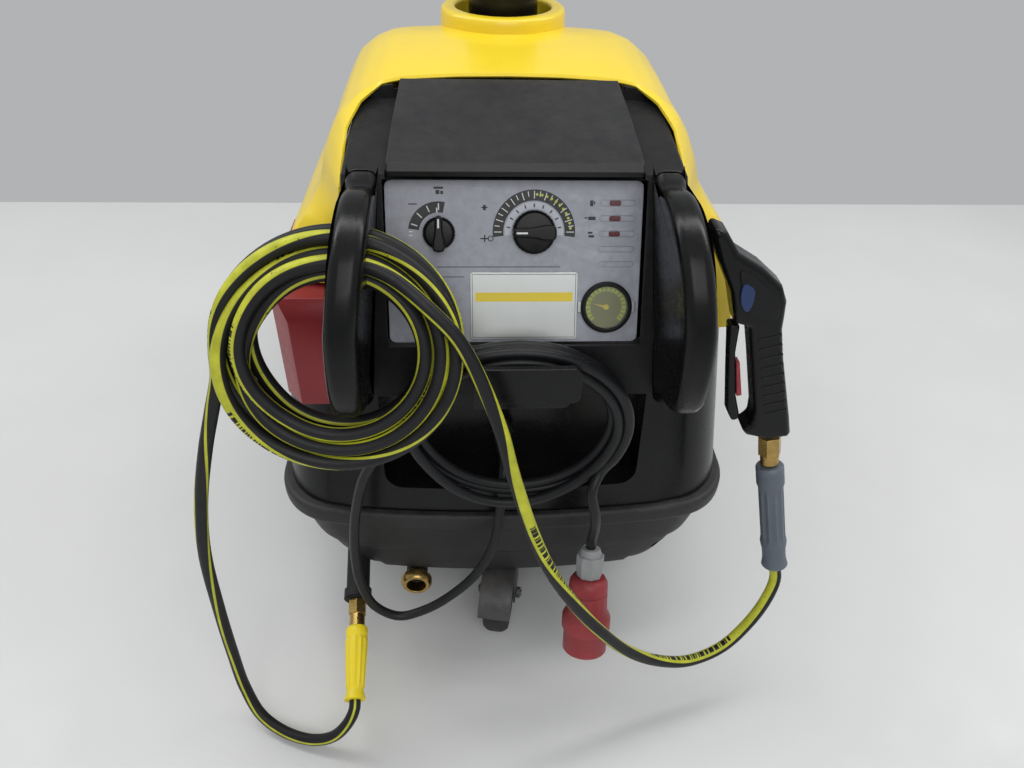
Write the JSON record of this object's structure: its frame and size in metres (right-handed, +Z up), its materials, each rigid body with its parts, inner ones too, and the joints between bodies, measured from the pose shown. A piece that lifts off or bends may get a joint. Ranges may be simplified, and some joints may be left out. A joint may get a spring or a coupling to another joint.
{
  "type": "hot-water high-pressure cleaner",
  "caption": "Mobile hot-water high-pressure cleaner with sloping control console, bow handles, coiled hose with spray gun, coiled power cable, flue, castor and rear wheels.",
  "frame": {"origin": "on the floor below the middle of the machine", "axes": "+Z up, the operator stands on the -Y side facing +Y, +X to the operator's right"},
  "size_m": [0.7571, 1.1035, 0.92],
  "materials": {
    "yellow": "glossy moulded plastic",
    "black": "satin moulded plastic",
    "smooth_black": "smooth polished plastic",
    "tub_grey": "matte moulded plastic",
    "panel_grey": "satin plastic",
    "red": "moulded plastic",
    "brass": "machined",
    "steel": "brushed",
    "rubber": "matte",
    "tyre": "worn tread",
    "hose": "smooth, yellow-green stripe",
    "cable": "matte",
    "sleeve_yellow": "soft plastic",
    "sleeve_grey": "soft plastic",
    "light_grey": "matte",
    "glass": "clear",
    "led_red": "dark red",
    "plate": "satin label",
    "zinc": "zinc plated",
    "tank_white": "translucent moulded",
    "motor_grey": "painted casting"
  },
  "bodies": {
    "machine": {"chassis_tub": "tub_grey", "upper_shell": "black", "console_housing": "black", "control_panel": "panel_grey", "label_plate": "plate", "led_top": "led_red", "led_middle": "led_red", "led_low": "led_red", "gauge_body": "black", "gauge_lens": "glass", "handle_left": "smooth_black", "handle_right": "smooth_black", "cable_hook": "black", "fuel_tank": "red", "boiler_casing": "steel", "boiler_coil": "steel", "blower": "motor_grey", "motor": "motor_grey", "pump": "motor_grey", "float_tank": "tank_white", "detergent_tank": "tank_white", "rear_axle": "zinc", "castor_plate": "zinc", "pressure_outlet": "rubber", "outlet_nut": "brass", "outlet_sleeve": "sleeve_yellow", "inlet_neck": "black", "inlet_ring": "brass", "cable_gland": "black", "gun_rest": "black", "gun_body": "black", "gun_nut": "brass", "gun_sleeve": "sleeve_grey", "hose_coil": "hose", "hose_lower": "hose", "hose_upper": "hose", "cable_coil": "cable", "cable_lower": "cable", "cable_drop": "cable", "plug_gland": "light_grey", "plug_body": "red"},
    "hood": {"hood": "yellow", "flue_nozzle": "smooth_black"},
    "lid": {"storage_lid": "smooth_black"},
    "selector": {"selector_knob": "black"},
    "temperature": {"temperature_knob": "black"},
    "needle": {"gauge_needle": "black"},
    "cap": {"fuel_cap": "black"},
    "castor": {"castor_fork": "zinc", "castor_axle": "zinc"},
    "castor_roller": {"castor_tyre": "tyre", "castor_wheel": "tub_grey"},
    "wheel_l": {"tyre_left": "tyre", "wheel_left": "sleeve_grey"},
    "wheel_r": {"tyre_right": "tyre", "wheel_right": "sleeve_grey"},
    "shaft": {"pump_shaft": "zinc"},
    "trigger": {"gun_trigger": "black"},
    "lock": {"gun_latch": "red"},
    "latch": {"hood_latch": "black"}
  },
  "joints": [
    {"name": "hood_hinge", "type": "hinge", "parent": "machine", "child": "hood", "pos_m": [0, 0.505, 0.548], "axis": [-1, 0, 0], "range_deg": [0, 60]},
    {"name": "lid_hinge", "type": "hinge", "parent": "machine", "child": "lid", "pos_m": [0, -0.174, 0.7878], "axis": [-1, 0, 0], "range_deg": [0, 75]},
    {"name": "selector_turn", "type": "hinge", "parent": "machine", "child": "selector", "pos_m": [-0.0812, -0.3546, 0.68148], "axis": [0, -0.9244, 0.3813], "range_deg": [0, 50]},
    {"name": "temperature_turn", "type": "hinge", "parent": "machine", "child": "temperature", "pos_m": [0.0207, -0.35418, 0.6825], "axis": [0, -0.9244, 0.3813], "range_deg": [-180, 0]},
    {"name": "gauge_turn", "type": "hinge", "parent": "machine", "child": "needle", "pos_m": [0.1019, -0.38537, 0.60688], "axis": [0, -0.9244, 0.3813], "range_deg": [-270, 0]},
    {"name": "fuel_cap_turn", "type": "hinge", "parent": "machine", "child": "cap", "pos_m": [-0.226, -0.2, 0.61], "axis": [0, 0, 1], "range_deg": [0, 90]},
    {"name": "castor_swivel", "type": "hinge", "parent": "machine", "child": "castor", "pos_m": [0, -0.315, 0.14], "axis": [0, 0, 1], "continuous": true},
    {"name": "castor_spin", "type": "hinge", "parent": "castor", "child": "castor_roller", "pos_m": [-0.00695, -0.35439, 0.0625], "axis": [0.9848, -0.1736, 0], "continuous": true},
    {"name": "wheel_left_spin", "type": "hinge", "parent": "machine", "child": "wheel_l", "pos_m": [-0.278, 0.3, 0.11], "axis": [1, 0, 0], "continuous": true},
    {"name": "wheel_right_spin", "type": "hinge", "parent": "machine", "child": "wheel_r", "pos_m": [0.278, 0.3, 0.11], "axis": [1, 0, 0], "continuous": true},
    {"name": "pump_shaft_spin", "type": "hinge", "parent": "machine", "child": "shaft", "pos_m": [0, -0.195, 0.225], "axis": [1, 0, 0], "continuous": true},
    {"name": "trigger_pull", "type": "hinge", "parent": "machine", "child": "trigger", "pos_m": [0.243, -0.402, 0.59], "axis": [0, -1, 0], "range_deg": [0, 4.5], "stiffness_Nm_per_rad": 0.6, "springref_deg": -6.88},
    {"name": "trigger_lock_slide", "type": "slide", "parent": "trigger", "child": "lock", "axis": [-0.204, 0, 0.979], "range_m": [0, 0.004]},
    {"name": "hood_latch_turn", "type": "hinge", "parent": "machine", "child": "latch", "pos_m": [0.2879, 0.135, 0.502], "axis": [0, 1, 0], "range_deg": [0, 70]}
  ]
}
